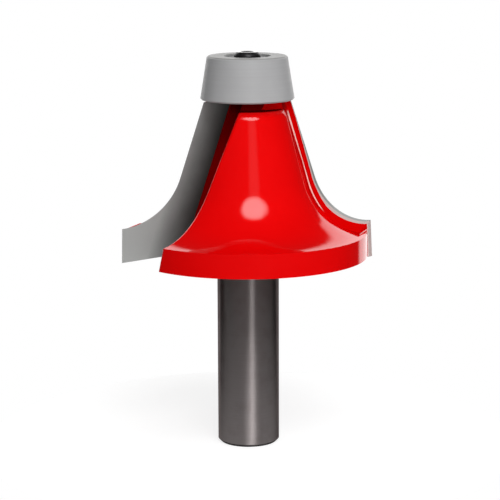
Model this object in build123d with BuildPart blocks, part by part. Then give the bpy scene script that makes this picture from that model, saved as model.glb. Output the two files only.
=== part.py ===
"""Solid-surface bowl router bit: two brazed carbide tips on an anti-kickback body, guided by a
tapered plastic sleeve on a ball bearing.

Frame: +Z up along the shank axis, origin at the centre of the shank's end face. The body's right
cutting corner stands on +X. Seen from the bearing end, the bit cuts turning counter-clockwise.
"""

import os
from math import asin, cos, degrees, hypot, radians, sin, sqrt, tan

from build123d import *

# ---- driving dimensions, in millimetres and degrees ----

# shank
shank_radius = 6.35  # 1/2 in shank
shank_length = 39.4  # end face to the underside of the flange
shank_chamfer = 0.55
shank_root_fillet = 0.8

# cutting profile, measured from the bit's axis; heights are over the underside of the flange
cut_radius = 25.95  # cutting circle of the outer corners
tip_drop = 1.03  # the tips reach this far below the flange
cove_radius = 13.56  # concave arc that blends the bowl's floor into its wall
cove_centre_radius = 26.82
cove_centre_height = 19.87
wall_angle = 16.7  # of the bowl's wall, from the axis
tip_top_height = 31.75

# bell between the tips: the cutting profile set inwards, which limits the chip
bell_inset = 1.62
rim_radius = 24.49
bell_top_height = 30.3
bell_top_fillet = 0.8
rim_fillet = 0.35
neck_radius = 4.6

# blade face: the plane that both the tip and its wing share
hook_angle = 20.3
shear_angle = 11.7
tip_width = 6.0  # across the straight stretch of the tip
tip_thickness = 2.0
tip_stand_out = 0.22  # carbide proud of the steel behind it
wing_root = 1.0  # wing steel inside the tip's inner edge

# clearance behind the cutting edge
radial_relief = 22.0
axial_relief = 7.5
wing_axial_relief = 3.0  # of the steel behind the tip
end_relief = 9.4

# heel: the wall that ends a wing behind its tip, seen along its own azimuth
heel_azimuth = -24.0
heel_offset = -0.35  # sideways from the axis, where the heel is straight, at the height of its bend
heel_lean = 3.0  # of the straight stretch, towards the tip with height
heel_bend_radius = 6.5
heel_bend_height = 9.65
heel_rim_offset = 5.2  # outside this the wing reaches down to the flange's underside

# chip gullet ahead of each tip
gullet_land = 0.3  # steel between the tip's inner edge and the gullet's root
gullet_root_azimuth = 19.07  # where the root arc meets the wall, at the flange
gullet_root_reach = 12.79
gullet_mouth_azimuth = 36.1  # where the wall meets the rim
gullet_wall_radius = 35.0
gullet_root_radius = 9.0
gullet_overrun = 3.0  # the groove's wall is drawn on past the rim
gullet_edge_fillet = 0.7  # rounds the wall's edge with the bell

# guide sleeve
sleeve_bottom_height = 32.16
sleeve_height = 8.8
sleeve_bottom_radius = 9.59
sleeve_top_radius = 8.17
sleeve_chamfer = 0.3
sleeve_opening_radius = 4.75
sleeve_lip = 0.7

# ball bearing, 3/16 x 1/2 x 0.196 in
bore_radius = 2.381
bearing_radius = 6.35
bearing_width = 4.978
ball_radius = 1.1906
ball_count = 7
ball_play = 0.012
groove_conformity = 1.04  # groove radius over ball radius
inner_land_radius = 3.62
outer_land_radius = 5.15
ring_chamfer = 0.25
shield_thickness = 0.2
shield_recess = 0.1
shield_seat_radius = 5.45
shield_gap = 0.1
cage_thickness = 0.2
cage_inner_radius = 3.85
cage_outer_radius = 4.88
cage_pocket_clearance = 0.04

# screw, washers and spigot
screw_radius = 1.5
screw_head_radius = 2.7
screw_head_height = 1.22
screw_head_edge = 0.4  # straight side of the head, below its dome
screw_crown_radius = 1.8  # flat ring around the socket
screw_dome_bulge = 0.11
screw_socket_flats = 2.0
screw_socket_depth = 0.8
screw_length = 8.0
screw_tip_chamfer = 0.25
thread_clearance = 0.03
tapping_allowance = 0.5  # the tapped hole is this much deeper than the screw
washer_thickness = 0.32
dust_washer_radius = 4.3
washer_clearance = 0.05
spacer_radius = 3.4
spacer_thickness = 0.3
spigot_clearance = 0.01
spigot_shortfall = 0.15  # the spigot ends below the bearing's top, so that the screw clamps it
shoulder_radius = 3.2

# ---- heights and radii that follow ----

flange_z = shank_length
sleeve_bottom_z = flange_z + sleeve_bottom_height
sleeve_top_z = sleeve_bottom_z + sleeve_height
bearing_top_z = sleeve_top_z - sleeve_lip
bearing_bottom_z = bearing_top_z - bearing_width
bearing_middle_z = bearing_top_z - bearing_width / 2
shoulder_z = bearing_bottom_z - spacer_thickness
spigot_radius = bore_radius - spigot_clearance
spigot_top_z = bearing_top_z - spigot_shortfall
head_bottom_z = bearing_top_z + washer_thickness
head_top_z = head_bottom_z + screw_head_height
screw_end_z = head_bottom_z - screw_length
crown_middle_radius = (screw_head_radius + screw_crown_radius) / 2 + screw_dome_bulge
crown_middle_z = (head_bottom_z + screw_head_edge + head_top_z) / 2 + screw_dome_bulge
pitch_radius = (bore_radius + bearing_radius) / 2
wing_top_z = flange_z + tip_top_height
corner_z = flange_z - tip_drop


def polar(radius, azimuth, z=0.0):
    """The point at a radius and azimuth around the bit's axis."""
    return Vector(radius * cos(radians(azimuth)), radius * sin(radians(azimuth)), z)


# ---- the turned profiles: a wall line, tangent to a cove ----


def cove_point(angle, inset=0.0):
    """(radius, height) on the cove, with its angle taken from straight down towards the axis."""
    reach = cove_radius + inset
    return (
        cove_centre_radius - reach * sin(radians(angle)),
        cove_centre_height - reach * cos(radians(angle)),
    )


def wall_point(height, inset=0.0):
    """(radius, height) on the bowl's wall, which leaves the cove along its tangent."""
    start_radius, start_height = cove_point(90 - wall_angle, inset)
    return start_radius - (height - start_height) * tan(radians(wall_angle)), height


def cove_start(radius, inset=0.0):
    """The cove's angle where it meets a cylinder of this radius."""
    return degrees(asin((cove_centre_radius - radius) / (cove_radius + inset)))


# ---- the blade's face plane, at the right-hand cutting corner ----

hook = radians(hook_angle)
shear = radians(shear_angle)
face_plane = Plane(
    origin=(cut_radius, 0, corner_z),
    x_dir=(cos(hook), sin(hook), 0),
    z_dir=(sin(hook) * cos(shear), -cos(hook) * cos(shear), sin(shear)),
)


def relief_direction(axial):
    """The way the cutting profile recedes behind the face."""
    return Vector(-tan(radians(radial_relief)), -1, -tan(radians(axial))).normalized()


relief = relief_direction(axial_relief)
relief_per_depth = 1 / relief.dot(face_plane.z_dir)  # length along the relief per depth behind the face


def face_point(radius, height):
    """Where the cutting circle of this radius and height crosses the blade's face, in its plane."""
    rise = height + tip_drop
    foot_x = cut_radius - rise * tan(shear) * sin(hook)
    foot_y = rise * tan(shear) * cos(hook)
    along = foot_x * cos(hook) + foot_y * sin(hook)
    across = hypot(foot_x, foot_y) ** 2 - along**2
    return sqrt(radius**2 - across) - along, rise / cos(shear)


def edge_points(inset):
    """The cutting edge in the face plane: rim bottom, cove start, cove middle, wall start, top."""
    outer_radius = cut_radius - inset
    start = cove_start(outer_radius, inset)
    end = 90 - wall_angle
    above = tip_top_height + 3  # trimmed to the wings' level top
    outline = [(outer_radius, -tip_drop)]
    outline += [cove_point(angle, inset) for angle in (start, (start + end) / 2, end)]
    outline += [wall_point(above, inset)]
    return [face_point(radius, height) for radius, height in outline]


def level_from(point, slope, y):
    """Where the line of this slope (x over y) through a point crosses a level y."""
    return point[0] + (y - point[1]) * slope, y


corner, rim_top, cove_middle, wall_start, wall_end = edge_points(0)
wall_slope = (wall_end[0] - wall_start[0]) / (wall_end[1] - wall_start[1])
tip_width_level = tip_width * hypot(1, wall_slope)
tip_inner_top = (wall_end[0] - tip_width_level, wall_end[1])
tip_inner_foot = level_from(tip_inner_top, wall_slope, corner[1])

heel_plane = Plane(
    origin=(0, 0, flange_z),
    x_dir=polar(1, heel_azimuth + 90),
    z_dir=polar(1, heel_azimuth),
)
end_plane = Plane(
    origin=face_plane.origin,
    x_dir=(1, 0, 0),
    z_dir=(0, sin(radians(end_relief)), cos(radians(end_relief))),
)
top_plane = Plane.XY.offset(wing_top_z)

# ---- carbide tips ----


def draw_edge(points):
    """The line, cove and wall of a cutting edge, from the rim's corner to the top."""
    Line(points[0], points[1])
    ThreePointArc(points[1], points[2], points[3])
    Line(points[3], points[4])


with BuildPart() as tip:
    with BuildSketch(face_plane):
        with BuildLine():
            draw_edge(edge_points(0))
            Polyline(wall_end, tip_inner_top, tip_inner_foot, corner)
        make_face()
    extrude(amount=tip_thickness * relief_per_depth, dir=relief)
    split(bisect_by=end_plane, keep=Keep.TOP)
    split(bisect_by=top_plane, keep=Keep.BOTTOM)

with BuildPart() as carbide_tip_right:
    add(tip.part)

with BuildPart() as carbide_tip_left:
    add(tip.part, rotation=(0, 0, 180))

# ---- one wing, drawn from the same face plane and joined to the bell below ----

wing_depth = 16.0  # past the heel everywhere
steel = edge_points(tip_stand_out)
heel_floor = heel_bend_height - heel_bend_radius
heel_top = (heel_offset + (tip_top_height + 3 - heel_bend_height) * tan(radians(heel_lean)), tip_top_height + 3)
heel_corner = (heel_offset - heel_bend_radius * tan(radians(heel_lean)), heel_floor)
heel_end = (cut_radius, heel_floor)

with BuildPart() as wing:
    with BuildSketch(face_plane):
        with BuildLine():
            draw_edge(steel)
            Polyline(
                steel[4],
                (tip_inner_top[0] - wing_root, wall_end[1]),
                (tip_inner_foot[0] - wing_root, corner[1]),
                steel[0],
            )
        make_face()
    extrude(amount=wing_depth, dir=relief_direction(wing_axial_relief))
    split(bisect_by=end_plane, keep=Keep.TOP)
    split(bisect_by=top_plane, keep=Keep.BOTTOM)
    with BuildSketch(heel_plane):
        with BuildLine():
            FilletPolyline(heel_top, heel_corner, heel_end, radius=heel_bend_radius)
            Polyline(heel_end, (cut_radius, heel_top[1]), heel_top)
        make_face()
        with Locations((heel_rim_offset, -2 * tip_drop)):
            Rectangle(cut_radius, heel_bend_height, align=(Align.MIN, Align.MIN))
    extrude(amount=cut_radius * 2, mode=Mode.INTERSECT)

# ---- one chip gullet: a round-rooted groove that leans with the tip's inner edge ----

up_face = face_plane.y_dir + face_plane.x_dir * wall_slope
gullet_lean = up_face / up_face.Z  # how the groove moves for each millimetre of height
land_start = (tip_inner_foot[0] - gullet_land, corner[1])
face_far = (tip_width * 2, corner[1])


def in_flange(point):
    """A point of the face plane's bottom line, carried along the groove to the flange's underside."""
    place = face_plane.from_local_coords(Vector(*point)) + gullet_lean * tip_drop
    return place.X, place.Y


def gullet_wall(root_end, mouth):
    """The groove's wall as an arc through its mouth at the rim, carried on past the rim."""
    chord = mouth - root_end
    half_angle = asin(chord.length / 2 / gullet_wall_radius)
    to_centre = Vector(chord.Y, -chord.X).normalized() * gullet_wall_radius * cos(half_angle)
    centre = root_end + chord / 2 + to_centre
    overrun_angle = 2 * half_angle + gullet_overrun / gullet_wall_radius
    beyond = centre + (root_end - centre).rotate(Axis.Z, -degrees(overrun_angle))
    return (root_end.X, root_end.Y), (mouth.X, mouth.Y), (beyond.X, beyond.Y)


wall_root, wall_mouth, wall_beyond = gullet_wall(
    polar(gullet_root_reach, gullet_root_azimuth), polar(rim_radius, gullet_mouth_azimuth)
)

with BuildPart() as gullet:
    with BuildSketch(Plane.XY.offset(flange_z)):
        with BuildLine():
            Line(in_flange(face_far), in_flange(land_start))
            RadiusArc(in_flange(land_start), wall_root, gullet_root_radius)
            ThreePointArc(wall_root, wall_mouth, wall_beyond)
            Line(wall_beyond, in_flange(face_far))
        make_face()
    extrude(amount=tip_top_height * gullet_lean.length, dir=gullet_lean, both=True)

# ---- cutter body: shank, flange, bell, wings, neck and spigot in one piece ----

bell_wall_foot = cove_point(90 - wall_angle, bell_inset)
bell_cove_top = cove_point(cove_start(rim_radius, bell_inset), bell_inset)
bell_cove_middle = cove_point(40, bell_inset)
bell_top = wall_point(bell_top_height, bell_inset)


def over_flange(point):
    """A (radius, height over the flange) pair as a point of the turned section."""
    return point[0], flange_z + point[1]


def is_wall_edge(edge):
    """Whether an edge of the gullets is their wall's edge with the rim, the bell or its top."""
    middle = edge.position_at(0.5)
    if middle.Y < 0:
        middle = middle.rotate(Axis.Z, 180)
    ahead_of_face = -face_plane.to_local_coords(middle).Z
    on_bell = rim_fillet < middle.Z - flange_z < bell_top_height + rim_fillet
    return on_bell and ahead_of_face > tip_thickness and edge.geom_type == GeomType.BSPLINE


with BuildPart() as cutter_body:
    with BuildSketch(Plane.XZ) as section:
        with BuildLine():
            Polyline((0, 0), (shank_radius, 0), (shank_radius, flange_z), (rim_radius, flange_z))
            Line((rim_radius, flange_z), over_flange(bell_cove_top))
            ThreePointArc(
                over_flange(bell_cove_top), over_flange(bell_cove_middle), over_flange(bell_wall_foot)
            )
            Polyline(
                over_flange(bell_wall_foot),
                over_flange(bell_top),
                (neck_radius, flange_z + bell_top_height),
                (neck_radius, wing_top_z),
                (0, wing_top_z),
                (0, 0),
            )
        make_face()
        corners = section.vertices()
        chamfer(corners.sort_by_distance((shank_radius, 0, 0))[0], shank_chamfer)
        fillet(corners.sort_by_distance((shank_radius, flange_z, 0))[0], shank_root_fillet)
        fillet(corners.sort_by(Axis.X)[-2:], rim_fillet)
        fillet(corners.sort_by_distance((*over_flange(bell_top), 0))[0], bell_top_fillet)
    revolve(axis=Axis.Z)
    with PolarLocations(0, 2):
        add(wing.part)
    with PolarLocations(0, 2):
        add(gullet.part, mode=Mode.SUBTRACT)
    fillet(cutter_body.edges(Select.LAST).filter_by(is_wall_edge), gullet_edge_fillet)
    with PolarLocations(0, 2):
        add(tip.part, mode=Mode.SUBTRACT)
    with BuildSketch(Plane.XY.offset(flange_z + tip_top_height)):
        Circle(shoulder_radius)
    extrude(amount=shoulder_z - flange_z - tip_top_height)
    with BuildSketch(Plane.XY.offset(shoulder_z)):
        Circle(spigot_radius)
    extrude(amount=spigot_top_z - shoulder_z)
    with Locations((0, 0, spigot_top_z)):
        Hole(radius=screw_radius + thread_clearance, depth=spigot_top_z - screw_end_z + tapping_allowance)

# ---- guide sleeve: a tapered plastic cup, pressed over the bearing and lipped at the top ----

with BuildPart() as guide_sleeve:
    with BuildSketch(Plane.XZ):
        with BuildLine():
            Polyline(
                (bearing_radius, sleeve_bottom_z),
                (sleeve_bottom_radius, sleeve_bottom_z),
                (sleeve_top_radius, sleeve_top_z),
                (sleeve_opening_radius, sleeve_top_z),
                (sleeve_opening_radius, bearing_top_z),
                (bearing_radius, bearing_top_z),
                close=True,
            )
        make_face()
    revolve(axis=Axis.Z)
    rims = guide_sleeve.edges().filter_by(GeomType.CIRCLE)
    chamfer(rims.filter_by(lambda edge: edge.radius > bearing_radius + sleeve_chamfer), sleeve_chamfer)
    chamfer(rims.group_by(Axis.Z)[-1].sort_by(SortBy.RADIUS)[0], sleeve_chamfer / 2)

# ---- ball bearing ----

inner_track_radius = pitch_radius - ball_radius - ball_play
outer_track_radius = pitch_radius + ball_radius + ball_play
groove_radius = ball_radius * groove_conformity
shield_top_z = bearing_width / 2 - shield_recess
shield_seat_z = shield_top_z - shield_thickness
bearing_section = Plane(origin=(0, 0, bearing_middle_z), x_dir=(1, 0, 0), z_dir=(0, -1, 0))

with BuildPart() as bearing_inner_ring:
    with BuildSketch(bearing_section) as inner_section:
        with Locations(((bore_radius + inner_land_radius) / 2, 0)):
            Rectangle(inner_land_radius - bore_radius, bearing_width)
        chamfer(inner_section.vertices(), ring_chamfer)
        with Locations((inner_track_radius + groove_radius, 0)):
            Circle(groove_radius, mode=Mode.SUBTRACT)
    revolve(axis=Axis.Z)

with BuildPart() as bearing_outer_ring:
    with BuildSketch(bearing_section) as outer_section:
        with Locations(((outer_land_radius + bearing_radius) / 2, 0)):
            Rectangle(bearing_radius - outer_land_radius, bearing_width)
        chamfer(outer_section.vertices().group_by(Axis.X)[-1], ring_chamfer)
        with Locations((outer_track_radius - groove_radius, 0)):
            Circle(groove_radius, mode=Mode.SUBTRACT)
        seat_middle_z = (shield_seat_z + bearing_width / 2) / 2
        with Locations((outer_land_radius, seat_middle_z), (outer_land_radius, -seat_middle_z)):
            Rectangle(
                2 * (shield_seat_radius - outer_land_radius),
                bearing_width / 2 - shield_seat_z,
                mode=Mode.SUBTRACT,
            )
    revolve(axis=Axis.Z)

with BuildPart() as lower_shield:
    with BuildSketch(Plane.XY.offset(bearing_middle_z - shield_top_z)):
        Circle(shield_seat_radius)
        Circle(inner_land_radius + shield_gap, mode=Mode.SUBTRACT)
    extrude(amount=shield_thickness)

with BuildPart() as upper_shield:
    with BuildSketch(Plane.XY.offset(bearing_middle_z + shield_seat_z)):
        Circle(shield_seat_radius)
        Circle(inner_land_radius + shield_gap, mode=Mode.SUBTRACT)
    extrude(amount=shield_thickness)


def ball_centres():
    """The balls' centres, evenly spaced around the bearing."""
    return [polar(pitch_radius, 360 * i / ball_count, bearing_middle_z) for i in range(ball_count)]


balls = []
for centre in ball_centres():
    with BuildPart() as ball:
        with Locations(centre):
            Sphere(ball_radius)
    balls.append(ball)

# each half of the ribbon cage is a flat ring that bulges over the balls
pocket_radius = ball_radius + cage_pocket_clearance

with BuildPart() as cage_upper_half:
    with BuildSketch(Plane.XY.offset(bearing_middle_z)):
        Circle(cage_outer_radius)
        Circle(cage_inner_radius, mode=Mode.SUBTRACT)
    extrude(amount=cage_thickness)
    with Locations(*ball_centres()):
        Sphere(pocket_radius + cage_thickness)
    with BuildSketch(Plane.XY.offset(bearing_middle_z)):
        Circle(cage_outer_radius)
        Circle(cage_inner_radius, mode=Mode.SUBTRACT)
    extrude(amount=bearing_width / 2, mode=Mode.INTERSECT)
    with Locations(*ball_centres()):
        Sphere(pocket_radius, mode=Mode.SUBTRACT)

with BuildPart() as cage_lower_half:
    add(cage_upper_half.part)
    mirror(about=Plane.XY.offset(bearing_middle_z), mode=Mode.REPLACE)

# ---- washers and screw ----

with BuildPart() as spacer_washer:
    with BuildSketch(Plane.XY.offset(shoulder_z)):
        Circle(spacer_radius)
        Circle(spigot_radius + washer_clearance, mode=Mode.SUBTRACT)
    extrude(amount=spacer_thickness)

with BuildPart() as dust_washer:
    with BuildSketch(Plane.XY.offset(bearing_top_z)):
        Circle(dust_washer_radius)
        Circle(screw_radius + washer_clearance, mode=Mode.SUBTRACT)
    extrude(amount=washer_thickness)
    chamfer(dust_washer.edges().group_by(Axis.Z)[-1].sort_by(SortBy.RADIUS)[-1], washer_thickness / 3)

with BuildPart() as retaining_screw:
    with BuildSketch(Plane.XZ):
        with BuildLine():
            Polyline(
                (0, screw_end_z),
                (screw_radius, screw_end_z),
                (screw_radius, head_bottom_z),
                (screw_head_radius, head_bottom_z),
                (screw_head_radius, head_bottom_z + screw_head_edge),
            )
            ThreePointArc(
                (screw_head_radius, head_bottom_z + screw_head_edge),
                (crown_middle_radius, crown_middle_z),
                (screw_crown_radius, head_top_z),
            )
            Polyline((screw_crown_radius, head_top_z), (0, head_top_z), (0, screw_end_z))
        make_face()
    revolve(axis=Axis.Z)
    with BuildSketch(Plane.XY.offset(head_top_z)):
        RegularPolygon(screw_socket_flats / 2, 6, major_radius=False)
    extrude(amount=-screw_socket_depth, mode=Mode.SUBTRACT)
    chamfer(retaining_screw.edges().group_by(Axis.Z)[0], screw_tip_chamfer)

# ---- one STEP file for each piece ----

pieces = {
    "cutter_body": cutter_body,
    "carbide_tip_left": carbide_tip_left,
    "carbide_tip_right": carbide_tip_right,
    "guide_sleeve": guide_sleeve,
    "bearing_outer_ring": bearing_outer_ring,
    "bearing_inner_ring": bearing_inner_ring,
    "cage_upper_half": cage_upper_half,
    "cage_lower_half": cage_lower_half,
    "lower_shield": lower_shield,
    "upper_shield": upper_shield,
    "spacer_washer": spacer_washer,
    "dust_washer": dust_washer,
    "retaining_screw": retaining_screw,
}
for number, ball in enumerate(balls, start=1):
    pieces[f"bearing_ball_{number}"] = ball

os.makedirs("parts", exist_ok=True)
for name, piece in pieces.items():
    piece.part.label = name
    export_step(piece.part, f"parts/{name}.step")
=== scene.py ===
"""Looks for the bowl router bit: coat, ground steel, carbide, plastic sleeve, studio light and camera."""
import math

import bpy
from mathutils import Euler, Matrix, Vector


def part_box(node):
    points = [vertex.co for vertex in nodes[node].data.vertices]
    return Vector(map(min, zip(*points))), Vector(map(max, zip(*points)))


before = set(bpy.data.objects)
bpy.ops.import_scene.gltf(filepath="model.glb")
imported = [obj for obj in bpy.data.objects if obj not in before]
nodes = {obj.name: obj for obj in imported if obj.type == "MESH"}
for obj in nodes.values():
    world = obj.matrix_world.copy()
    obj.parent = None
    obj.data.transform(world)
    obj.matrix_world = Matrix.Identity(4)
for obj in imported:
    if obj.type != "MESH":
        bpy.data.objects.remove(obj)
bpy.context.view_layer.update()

# ---- where things are on the bit, in metres ----

FLANGE_Z = 0.0394
CUT_RADIUS = 0.02595
RIM_EDGE = (0.0243, 0.0241)  # where the gullets' painted shade fades out towards the rim
TIP_TOP_Z = FLANGE_Z + 0.03175
COVE_START_Z = FLANGE_Z + 0.0063
# the right-hand blade's face plane; the left one is its half turn
FACE_ORIGIN = (CUT_RADIUS, 0.0, FLANGE_Z - 0.00103)
FACE_INWARD = (0.3397, -0.9184, 0.2028)
FACE_OUTWARD = (0.89474, 0.38202, 0.23112)
FACE_WIDTH = 0.013211

# the bell's turned profile: a cove, then a leaning wall
BELL_TOP_Z = FLANGE_Z + 0.0303
COVE_CENTRE = (0.02682, FLANGE_Z + 0.01987)
BELL_COVE_RADIUS = 0.01518
BELL_FOOT_Z = FLANGE_Z + 0.0155
WALL_SLOPE = 0.3  # the wall leans in this far for each metre of height
WALL_REACH = 0.02875  # radius plus WALL_SLOPE times z, anywhere on the wall
WALL_ACROSS = 0.958  # turns that sum into a distance across the wall
SHOULDER_HEIGHT = 0.0017  # the rounding of the bell's top starts this far below it
SHOULDER_CURVE = -230.0

# the heels' steps; each leans, with a painted highlight along its edge and painted shade next to it
HEEL_SIDE = (0.4067, 0.9135, 0.0)
HEEL_ALONG = (0.9135, -0.4067, 0.0)
HEEL_LEAN = 0.0524
HEEL_LEAN_FROM_Z = FLANGE_Z + 0.00965
HEEL_OFFSET = -0.00035
STEP_HIGHLIGHT_HALF_WIDTH = (0.00036, 0.00024)  # where the painted highlight starts and where it is full
STEP_SHADE_REACH = 0.0004  # the painted shade line reaches this much further
SIDES = (1.0, -1.0)  # right wing, left wing

# ground marks on the carbide, and the red overspray behind it
STROKE_TURN = (0.0, math.radians(-17.0), math.radians(20.0))
STROKE_SCALE = (9000.0, 9000.0, 400.0)
BARE_DEPTH = (0.00145, 0.0003)  # bare carbide behind the edge, low and high on the wall
BARE_ON_FLOOR = 0.0007  # as much again, out on the floor
LAND_ON_RIM = 0.00008
LAND_SHARE = 0.6

EDGE_TINT = (0.15, 0.15, 0.15, 1.0)  # keeps metal from going white at grazing angles
BACK_AZIMUTH = math.radians(7.1)  # the camera looks this far round from +Y


class Graph:
    """Builds a node tree with short calls: each returns an output socket."""

    def __init__(self, tree):
        self.tree = tree
        tree.nodes.clear()

    def node(self, kind, inputs=None, **settings):
        made = self.tree.nodes.new(kind)
        for name, value in settings.items():
            setattr(made, name, value)
        for name, value in (inputs or {}).items():
            self.set(made.inputs[name], value)
        return made

    def set(self, socket, value):
        if isinstance(value, bpy.types.NodeSocket):
            self.tree.links.new(value, socket)
        else:
            socket.default_value = value

    def math(self, operation, a, b=0.0, clamp=False):
        made = self.node("ShaderNodeMath", operation=operation, use_clamp=clamp)
        self.set(made.inputs[0], a)
        self.set(made.inputs[1], b)
        return made.outputs[0]

    def dot(self, vector, constant):
        made = self.node("ShaderNodeVectorMath", operation="DOT_PRODUCT")
        self.set(made.inputs[0], vector)
        self.set(made.inputs[1], constant)
        return made.outputs["Value"]

    def vector(self, operation, a, b):
        made = self.node("ShaderNodeVectorMath", operation=operation)
        self.set(made.inputs[0], a)
        self.set(made.inputs[1], b)
        return made.outputs["Vector"]

    def ramp(self, value, low, high, to_low=0.0, to_high=1.0, smooth=True):
        made = self.node("ShaderNodeMapRange")
        made.interpolation_type = "SMOOTHSTEP" if smooth else "LINEAR"
        self.set(made.inputs["Value"], value)
        made.inputs["From Min"].default_value = low
        made.inputs["From Max"].default_value = high
        made.inputs["To Min"].default_value = to_low
        made.inputs["To Max"].default_value = to_high
        return made.outputs["Result"]

    def mix(self, factor, a, b):
        made = self.node("ShaderNodeMix", data_type="RGBA")
        self.set(made.inputs["Factor"], factor)
        self.set(made.inputs["A"], a)
        self.set(made.inputs["B"], b)
        return made.outputs["Result"]

    def blend(self, factor, a, b):
        made = self.node("ShaderNodeMix", data_type="FLOAT")
        self.set(made.inputs["Factor"], factor)
        self.set(made.inputs["A"], a)
        self.set(made.inputs["B"], b)
        return made.outputs["Result"]

    def noise(self, vector, scale, detail=2.0, roughness=0.5):
        made = self.node("ShaderNodeTexNoise")
        self.set(made.inputs["Vector"], vector)
        made.inputs["Scale"].default_value = scale
        made.inputs["Detail"].default_value = detail
        made.inputs["Roughness"].default_value = roughness
        return made.outputs["Fac"]

    def bump(self, height, strength, distance, normal=None):
        made = self.node("ShaderNodeBump")
        self.set(made.inputs["Height"], height)
        made.inputs["Strength"].default_value = strength
        made.inputs["Distance"].default_value = distance
        if normal is not None:
            self.set(made.inputs["Normal"], normal)
        return made.outputs["Normal"]


def rgb(r, g, b):
    return (r, g, b, 1.0)


class Finish(Graph):
    """A material's graph, with the piece's own coordinates ready as sockets."""

    def __init__(self, name):
        self.material = bpy.data.materials.new(name)
        self.material.use_nodes = True
        super().__init__(self.material.node_tree)
        self.place = self.node("ShaderNodeTexCoord").outputs["Object"]
        split = self.node("ShaderNodeSeparateXYZ", {"Vector": self.place})
        self.x, self.y, self.z = split.outputs[0], split.outputs[1], split.outputs[2]
        x_squared = self.math("MULTIPLY", self.x, self.x)
        y_squared = self.math("MULTIPLY", self.y, self.y)
        self.radius = self.math("SQRT", self.math("ADD", x_squared, y_squared))
        self.angle = self.math("ARCTAN2", self.y, self.x)

    def turned(self, around, radial, along):
        """Coordinates for marks left by turning or grinding: scale round the axis, outwards, along it."""
        made = self.node("ShaderNodeCombineXYZ")
        self.set(made.inputs[0], self.math("MULTIPLY", self.math("SINE", self.angle), around))
        self.set(made.inputs[1], self.math("MULTIPLY", self.radius, radial))
        self.set(made.inputs[2], self.math("MULTIPLY", self.z, along))
        return made.outputs[0]

    def finish(self, **inputs):
        surface = self.node("ShaderNodeBsdfPrincipled")
        for name, value in inputs.items():
            self.set(surface.inputs[name.replace("_", " ")], value)
        output = self.node("ShaderNodeOutputMaterial")
        self.tree.links.new(surface.outputs[0], output.inputs["Surface"])
        return self.material


def tangent_around_axis(graph):
    return graph.node("ShaderNodeTangent", direction_type="RADIAL", axis="Z").outputs[0]


# ---- finishes ----


def inside_bell(g):
    """How far a point lies inside the bell's turned profile; negative on the wings."""
    over = g.math("SUBTRACT", g.z, COVE_CENTRE[1])
    out = g.math("SUBTRACT", g.radius, COVE_CENTRE[0])
    square = g.math("ADD", g.math("MULTIPLY", over, over), g.math("MULTIPLY", out, out))
    cove = g.math("SUBTRACT", g.math("SQRT", square), BELL_COVE_RADIUS)
    slant = g.math("ADD", g.radius, g.math("MULTIPLY", g.z, WALL_SLOPE))
    wall = g.math("MULTIPLY", g.math("SUBTRACT", WALL_REACH, slant), WALL_ACROSS)
    return g.blend(g.math("GREATER_THAN", g.z, BELL_FOOT_Z), cove, wall)


def painted_step_band(g, proud, side, wider=0.0):
    """The band along one wing's heel step that carries a painted highlight; wider takes in the painted
    shade next to it.
    """
    along = g.dot(g.place, tuple(side * v for v in HEEL_ALONG))
    across = g.dot(g.place, tuple(side * v for v in HEEL_SIDE))
    lean = g.math("MULTIPLY", g.math("SUBTRACT", g.z, HEEL_LEAN_FROM_Z), HEEL_LEAN)
    gap = g.math("ABSOLUTE", g.math("SUBTRACT", across, g.math("ADD", lean, HEEL_OFFSET)))
    near = g.ramp(gap, wider + STEP_HIGHLIGHT_HALF_WIDTH[0], wider + STEP_HIGHLIGHT_HALF_WIDTH[1])
    edge = g.ramp(g.z, FLANGE_Z + 0.02, FLANGE_Z + 0.028, 0.0005, 0.00015, smooth=False)
    high = g.ramp(g.math("SUBTRACT", g.math("ADD", proud, wider * 1.2), edge), -0.00005, 0.00008)
    from_foot = g.ramp(g.z, FLANGE_Z + 0.0095, FLANGE_Z + 0.011)
    to_top = g.ramp(g.z, FLANGE_Z + 0.0302, FLANGE_Z + 0.0296)
    wall = g.math("MULTIPLY", from_foot, to_top)
    this_side = g.math("MULTIPLY", g.math("GREATER_THAN", along, 0.0), wall)
    return g.math("MULTIPLY", g.math("MULTIPLY", near, high), this_side)


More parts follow.
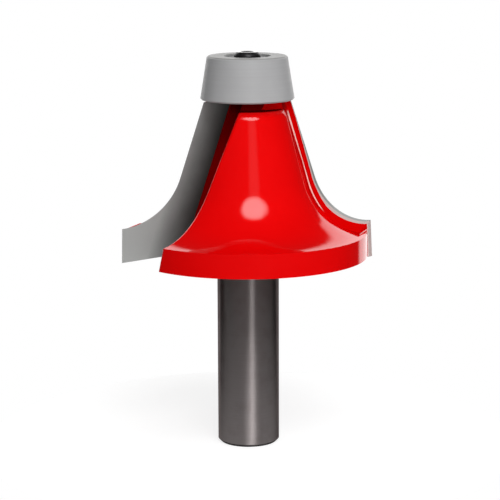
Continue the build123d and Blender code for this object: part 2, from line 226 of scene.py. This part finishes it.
def coated_body():
    """Red baked coating on the body, bare ground steel on the shank and the bearing's seat."""
    g = Finish("red_coat_and_ground_steel")
    wander = g.noise(g.place, 900.0, 3.0)
    line = g.math("ADD", g.z, g.math("MULTIPLY", g.math("SUBTRACT", wander, 0.5), 0.0002))
    below = g.ramp(line, FLANGE_Z - 0.00045, FLANGE_Z - 0.0006)
    above = g.ramp(line, TIP_TOP_Z + 0.0001, TIP_TOP_Z + 0.0002)
    steel = g.math("MAXIMUM", below, above)

    depth = inside_bell(g)
    proud = g.math("MULTIPLY", depth, -1.0)
    in_gullet = g.math("MULTIPLY", g.ramp(depth, 0.0001, 0.0007), g.ramp(g.radius, *RIM_EDGE))
    on_wing = g.ramp(proud, 0.0001, 0.0002)
    step_highlight = g.math("MAXIMUM", *(painted_step_band(g, proud, side) for side in SIDES))

    tone = g.noise(g.place, 160.0, 3.0)
    red = g.mix(tone, rgb(0.68, 0.0, 0.0003), rgb(0.74, 0.0005, 0.001))
    # painted shade: the coat in the gullets is darkened towards black red
    red = g.mix(g.math("MULTIPLY", in_gullet, 0.72), red, rgb(0.02, 0.0, 0.0))
    # painted shade: a dark red line next to each step's edge
    step_shade = g.math("MAXIMUM", *(painted_step_band(g, proud, side, STEP_SHADE_REACH) for side in SIDES))
    red = g.mix(g.math("MULTIPLY", step_shade, 0.45), red, rgb(0.1, 0.0, 0.0))
    # painted highlight: a pale pink line along each step's edge, broken up by noise
    red = g.mix(g.math("MULTIPLY", step_highlight, g.ramp(wander, 0.2, 0.5, 0.8, 1.0)), red, rgb(1.0, 0.55, 0.51))
    rings = g.noise(g.turned(0.6, 300.0, 9000.0), 1.0, 3.0, 0.6)
    stain = g.noise(g.place, 230.0, 4.0, 0.6)
    bright = g.mix(rings, rgb(0.25, 0.226, 0.224), rgb(0.34, 0.306, 0.303))
    bare = g.mix(g.ramp(stain, 0.45, 0.75, 0.0, 0.6), bright, rgb(0.24, 0.208, 0.21))
    # painted shade: the shank's end and chamfer are darkened where they meet the floor
    end_shade = g.ramp(line, 0.0007, 0.0004)
    bare = g.mix(end_shade, bare, rgb(0.05, 0.046, 0.046))

    peel = g.noise(g.place, 750.0, 2.0)
    grain = g.bump(g.blend(steel, g.math("MULTIPLY", peel, 0.35), rings), 0.25, 0.00002)
    shoulder = g.math("MAXIMUM", g.math("SUBTRACT", g.z, BELL_TOP_Z - SHOULDER_HEIGHT), 0.0)
    drop = g.math("MULTIPLY", g.math("MULTIPLY", shoulder, shoulder), SHOULDER_CURVE)
    on_bell = g.math("GREATER_THAN", depth, -0.0002)
    normal = g.bump(g.math("MULTIPLY", drop, on_bell), 1.0, 1.0, grain)
    glossy = g.math("SUBTRACT", 1.0, g.math("MAXIMUM", steel, g.math("MAXIMUM", on_wing, in_gullet)))
    return g.finish(
        Base_Color=g.mix(steel, red, bare),
        Metallic=steel,
        Specular_Tint=EDGE_TINT,
        Roughness=g.blend(steel, 0.5, g.ramp(rings, 0.3, 0.7, 0.41, 0.48)),
        Specular_IOR_Level=0.0,
        Anisotropic=1.0,
        Anisotropic_Rotation=0.25,
        Tangent=tangent_around_axis(g),
        Coat_Weight=glossy,
        Coat_Roughness=0.08,
        Coat_IOR=1.5,
        Normal=normal,
        Coat_Normal=normal,
    )


def carbide(name, side):
    """Ground tungsten carbide with painted shade towards the braze, a fine land, a painted pinkish-white
    reflection on the relief behind the land, and red overspray behind it.
    """
    g = Finish(name)
    flipped = g.vector("MULTIPLY", g.place, (side, side, 1.0))
    offset = g.vector("SUBTRACT", flipped, FACE_ORIGIN)
    depth = g.dot(offset, FACE_INWARD)
    cloud = g.noise(g.place, 260.0, 3.0)
    from_root = g.math("ADD", g.dot(offset, FACE_OUTWARD), FACE_WIDTH)
    from_root = g.math("ADD", from_root, g.math("MULTIPLY", g.math("SUBTRACT", cloud, 0.5), 0.0012))
    on_wall = g.ramp(g.z, FLANGE_Z + 0.016, FLANGE_Z + 0.028, *BARE_DEPTH, smooth=False)
    on_floor = g.ramp(g.z, FLANGE_Z + 0.009, FLANGE_Z + 0.014, BARE_ON_FLOOR, 0.0)
    bare_to = g.math("ADD", on_wall, on_floor)
    wander = g.math("MULTIPLY", g.math("SUBTRACT", g.noise(g.place, 1400.0, 2.0), 0.5), 0.0002)
    spray = g.ramp(g.math("SUBTRACT", g.math("ADD", depth, wander), bare_to), -0.00006, 0.00006)
    on_rim = g.ramp(g.z, COVE_START_Z, COVE_START_Z - 0.0001)
    land = g.blend(on_rim, g.math("MULTIPLY", on_wall, LAND_SHARE), LAND_ON_RIM)
    rear = g.ramp(g.math("SUBTRACT", depth, land), -0.00005, 0.00005)
    along = g.node("ShaderNodeMapping", {"Vector": flipped})
    along.inputs["Rotation"].default_value = STROKE_TURN
    along.inputs["Scale"].default_value = STROKE_SCALE
    strokes = g.noise(along.outputs[0], 1.0, 4.0, 0.65)
    ground = g.mix(strokes, rgb(0.415, 0.42, 0.412), rgb(0.495, 0.50, 0.49))
    # painted shade: the face darkens towards its root next to the red wall
    out_of_root_shade = g.ramp(from_root, -0.0015, 0.008, smooth=False)
    face = g.mix(g.math("POWER", out_of_root_shade, 1.6), rgb(0.035, 0.038, 0.036), ground)
    # painted reflection: the relief behind the land is coloured pinkish white, standing in for the white
    # backdrop and red body seen in it at a grazing angle
    back = g.mix(strokes, rgb(0.64, 0.50, 0.48), rgb(0.74, 0.59, 0.57))
    bare = g.mix(rear, face, back)
    return g.finish(
        Base_Color=g.mix(spray, bare, rgb(0.66, 0.0, 0.0005)),
        Metallic=g.blend(spray, 0.25, 0.0),
        Specular_Tint=EDGE_TINT,
        Roughness=g.blend(rear, g.ramp(strokes, 0.3, 0.7, 0.45, 0.58), 0.5),
        Specular_IOR_Level=0.0,
        Normal=g.bump(strokes, 0.15, 0.00002),
    )


def acetal():
    """Pale grey turned plastic, with painted shade on its top face."""
    g = Finish("turned_grey_plastic")
    rings = g.noise(g.turned(0.5, 2500.0, 2500.0), 1.0, 3.0, 0.55)
    cloud = g.noise(g.place, 220.0, 3.0)
    colour = g.mix(cloud, rgb(0.335, 0.335, 0.34), rgb(0.385, 0.385, 0.39))
    colour = g.mix(g.ramp(rings, 0.4, 0.8, 0.0, 0.3), colour, rgb(0.31, 0.31, 0.312))
    sleeve_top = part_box("guide_sleeve")[1][2]
    # painted shade: the top face is coloured darker grey than the sides
    top = g.ramp(g.z, sleeve_top - 0.0002, sleeve_top - 0.0001)
    return g.finish(
        Base_Color=g.mix(top, colour, rgb(0.25, 0.248, 0.24)),
        Roughness=g.ramp(rings, 0.3, 0.7, 0.38, 0.48),
        Specular_IOR_Level=0.15,
        Coat_Weight=0.1,
        Coat_Roughness=0.16,
        Normal=g.bump(rings, 0.2, 0.00002),
    )


def ring_steel(name, low, high, roughness):
    """Bearing steel with marks round the axis."""
    g = Finish(name)
    rings = g.noise(g.turned(0.5, 5000.0, 5000.0), 1.0, 4.0, 0.6)
    cloud = g.noise(g.place, 500.0, 3.0)
    colour = g.mix(rings, rgb(*[low] * 3), rgb(high, high, high * 0.985))
    return g.finish(
        Base_Color=g.mix(g.ramp(cloud, 0.4, 0.8, 0.0, 0.4), colour, rgb(low * 0.9, low * 0.86, low * 0.82)),
        Metallic=1.0,
        Roughness=g.ramp(rings, 0.3, 0.7, roughness, roughness + 0.12),
        Anisotropic=0.5,
        Tangent=tangent_around_axis(g),
        Normal=g.bump(rings, 0.12, 0.00001),
    )


def ball_steel():
    """Polished chrome steel with a faint bloom."""
    g = Finish("polished_ball_steel")
    bloom = g.noise(g.place, 900.0, 3.0)
    return g.finish(
        Base_Color=g.mix(bloom, rgb(0.70, 0.70, 0.71), rgb(0.80, 0.80, 0.80)),
        Metallic=1.0,
        Roughness=g.ramp(bloom, 0.3, 0.7, 0.06, 0.12),
    )


def black_oxide(name, crown_highlight=None):
    """Oiled black oxide, rubbed a little paler in patches; a ring on its top can carry a painted highlight.
    """
    g = Finish(name)
    grain = g.noise(g.place, 2600.0, 4.0, 0.6)
    patches = g.noise(g.place, 420.0, 3.0)
    colour = g.mix(grain, rgb(0.012, 0.012, 0.013), rgb(0.035, 0.034, 0.036))
    colour = g.mix(g.ramp(patches, 0.55, 0.8, 0.0, 0.6), colour, rgb(0.06, 0.055, 0.052))
    roughness = g.ramp(grain, 0.3, 0.7, 0.3, 0.48)
    # painted highlight: a near-white ring on the screw's top, round the socket
    if crown_highlight:
        inner, height = crown_highlight
        outside = g.ramp(g.radius, inner, inner + 0.00008)
        on_top = g.ramp(g.z, height - 0.00012, height - 0.00004)
        ring = g.math("MULTIPLY", outside, on_top)
        colour = g.mix(ring, colour, g.mix(grain, rgb(0.72, 0.71, 0.70), rgb(0.86, 0.85, 0.84)))
        roughness = g.blend(ring, roughness, 0.2)
    return g.finish(
        Base_Color=colour,
        Metallic=0.6,
        Roughness=roughness,
        Normal=g.bump(grain, 0.25, 0.00002),
    )


screw_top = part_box("retaining_screw")[1][2]
races = ring_steel("ground_bearing_steel", 0.48, 0.62, 0.16)
pressed = ring_steel("pressed_steel", 0.40, 0.50, 0.28)
polished = ball_steel()
SCREW_CROWN = 0.0014  # the screw's top carries a painted highlight ring outside this radius
finishes = {
    "cutter_body": coated_body(),
    "carbide_tip_right": carbide("ground_carbide_right", 1.0),
    "carbide_tip_left": carbide("ground_carbide_left", -1.0),
    "guide_sleeve": acetal(),
    "bearing_outer_ring": races,
    "bearing_inner_ring": races,
    "cage_upper_half": pressed,
    "cage_lower_half": pressed,
    "lower_shield": pressed,
    "upper_shield": pressed,
    "spacer_washer": pressed,
    "dust_washer": black_oxide("black_oxide_washer"),
    "retaining_screw": black_oxide("black_oxide_screw", (SCREW_CROWN, screw_top)),
}
for name, piece in nodes.items():
    finish = finishes.get(name, polished)
    for slot in piece.material_slots:
        slot.material = finish

# ---- floor ----


FLOOR_RADIUS = 0.055
FLOOR_Z = -0.00002
FLOOR_CORNERS = 96
FLOOR_GLOW = 0.76


def floor_material():
    """White where it is lit, to the camera and in reflections, and it keeps the bit's soft shadow."""
    material = bpy.data.materials.new("pale_floor")
    material.use_nodes = True
    g = Graph(material.node_tree)
    speck = g.noise(g.node("ShaderNodeTexCoord").outputs["Object"], 300.0, 2.0)
    colour = g.mix(speck, rgb(0.33, 0.33, 0.33), rgb(0.35, 0.35, 0.35))
    diffuse = g.node("ShaderNodeBsdfDiffuse", {"Color": colour})
    path = g.node("ShaderNodeLightPath").outputs
    reflected = g.math("MAXIMUM", path["Is Glossy Ray"], path["Is Transmission Ray"])
    seen = g.math("MAXIMUM", path["Is Camera Ray"], reflected)
    glow = g.node("ShaderNodeEmission", {"Strength": g.math("MULTIPLY", seen, FLOOR_GLOW)})
    both = g.node("ShaderNodeAddShader")
    g.tree.links.new(diffuse.outputs[0], both.inputs[0])
    g.tree.links.new(glow.outputs[0], both.inputs[1])
    output = g.node("ShaderNodeOutputMaterial")
    g.tree.links.new(both.outputs[0], output.inputs["Surface"])
    return material


disc = bpy.data.meshes.new("floor")
turns = [math.tau * i / FLOOR_CORNERS for i in range(FLOOR_CORNERS)]
ring = [(FLOOR_RADIUS * math.cos(turn), FLOOR_RADIUS * math.sin(turn), FLOOR_Z) for turn in turns]
disc.from_pydata(ring, [], [tuple(range(FLOOR_CORNERS))])
floor = bpy.data.objects.new("floor", disc)
bpy.context.scene.collection.objects.link(floor)
floor.data.materials.append(floor_material())

# ---- studio light, painted on the world ----


def direction(turn_angle, elevation):
    """A unit vector, turned from the view's far side towards its right, in degrees."""
    around = BACK_AZIMUTH + math.radians(turn_angle)
    level = math.cos(math.radians(elevation))
    return (level * math.sin(around), level * math.cos(around), math.sin(math.radians(elevation)))


world = bpy.data.worlds.new("studio")
bpy.context.scene.world = world
world.use_nodes = True
w = Graph(world.node_tree)
look = w.node("ShaderNodeTexCoord").outputs["Generated"]


def lamp(aim, inner, outer, strength):
    """A round soft-edged lamp in the sky; inner and outer are its angular radii in degrees."""
    near = w.ramp(w.dot(look, aim), math.cos(math.radians(outer)), math.cos(math.radians(inner)))
    return w.math("MULTIPLY", near, strength)


back = (math.sin(BACK_AZIMUTH), math.cos(BACK_AZIMUTH), 0.0)
right = (math.cos(BACK_AZIMUTH), -math.sin(BACK_AZIMUTH), 0.0)
turn = w.math("ARCTAN2", w.dot(look, right), w.dot(look, back))
rise = w.math("ARCSINE", w.dot(look, (0.0, 0.0, 1.0)))


def window(turn_low, turn_high, rise_low, rise_high, soft, strength):
    """A soft-edged panel between two turns about the back direction and two elevations, in degrees."""
    edge = math.radians(soft)
    a = w.ramp(turn, math.radians(turn_low) - edge, math.radians(turn_low) + edge)
    b = w.ramp(turn, math.radians(turn_high) + edge, math.radians(turn_high) - edge)
    c = w.ramp(rise, math.radians(rise_low) - edge, math.radians(rise_low) + edge)
    d = w.ramp(rise, math.radians(rise_high) + edge, math.radians(rise_high) - edge)
    panel = w.math("MULTIPLY", w.math("MULTIPLY", a, b), w.math("MULTIPLY", c, d))
    return w.math("MULTIPLY", panel, strength)


KEY = (0.074, -0.611, 0.788)  # towards the soft key lamp, above and in front
BASE_LEVEL = 0.03
FILL_AIM = (163.0, 18.0)
FILL_STRENGTH = 1.05
lights = [
    lamp(KEY, 11.5, 20.5, 6.0),
    window(157.0, 177.0, 12.0, 38.0, 4.0, 0.35),
    window(159.0, 173.0, -5.0, 11.0, 4.0, 5.5),
    window(-45.0, 37.0, 0.0, 33.0, 3.0, 1.6),
    window(-45.0, 46.0, -40.0, 0.0, 3.0, 1.6),
]
total = BASE_LEVEL
for light in lights:
    total = w.math("ADD", light, total)
path = w.node("ShaderNodeLightPath").outputs
reflected = w.math("MAXIMUM", path["Is Glossy Ray"], path["Is Transmission Ray"])
front = w.math("MAXIMUM", w.dot(look, direction(*FILL_AIM)), 0.0)
fill = w.math("MULTIPLY", w.math("SUBTRACT", 1.0, reflected), w.math("MULTIPLY", front, FILL_STRENGTH))
level = w.blend(path["Is Camera Ray"], w.math("ADD", total, fill), 1.0)
sky = w.node("ShaderNodeBackground", {"Color": rgb(1.0, 1.0, 1.0), "Strength": level})
w.tree.links.new(sky.outputs[0], w.node("ShaderNodeOutputWorld").inputs["Surface"])

# ---- camera ----

camera_data = bpy.data.cameras.new("camera")
camera_data.sensor_fit = "HORIZONTAL"
camera_data.sensor_width = 36.0
camera_data.lens = 135.07
camera_data.clip_start = 0.01
camera = bpy.data.objects.new("camera", camera_data)
bpy.context.scene.collection.objects.link(camera)
CAMERA_PLACE = (-0.04641, -0.37593, 0.115)
PITCH = 0.1945
ROLL = -0.00372
aim = Euler((math.pi / 2 - PITCH, 0.0, -BACK_AZIMUTH)).to_matrix() @ Matrix.Rotation(ROLL, 3, "Z")
camera.matrix_world = Matrix.Translation(CAMERA_PLACE) @ aim.to_4x4()
bpy.context.scene.camera = camera
bpy.context.scene.view_settings.view_transform = "Standard"
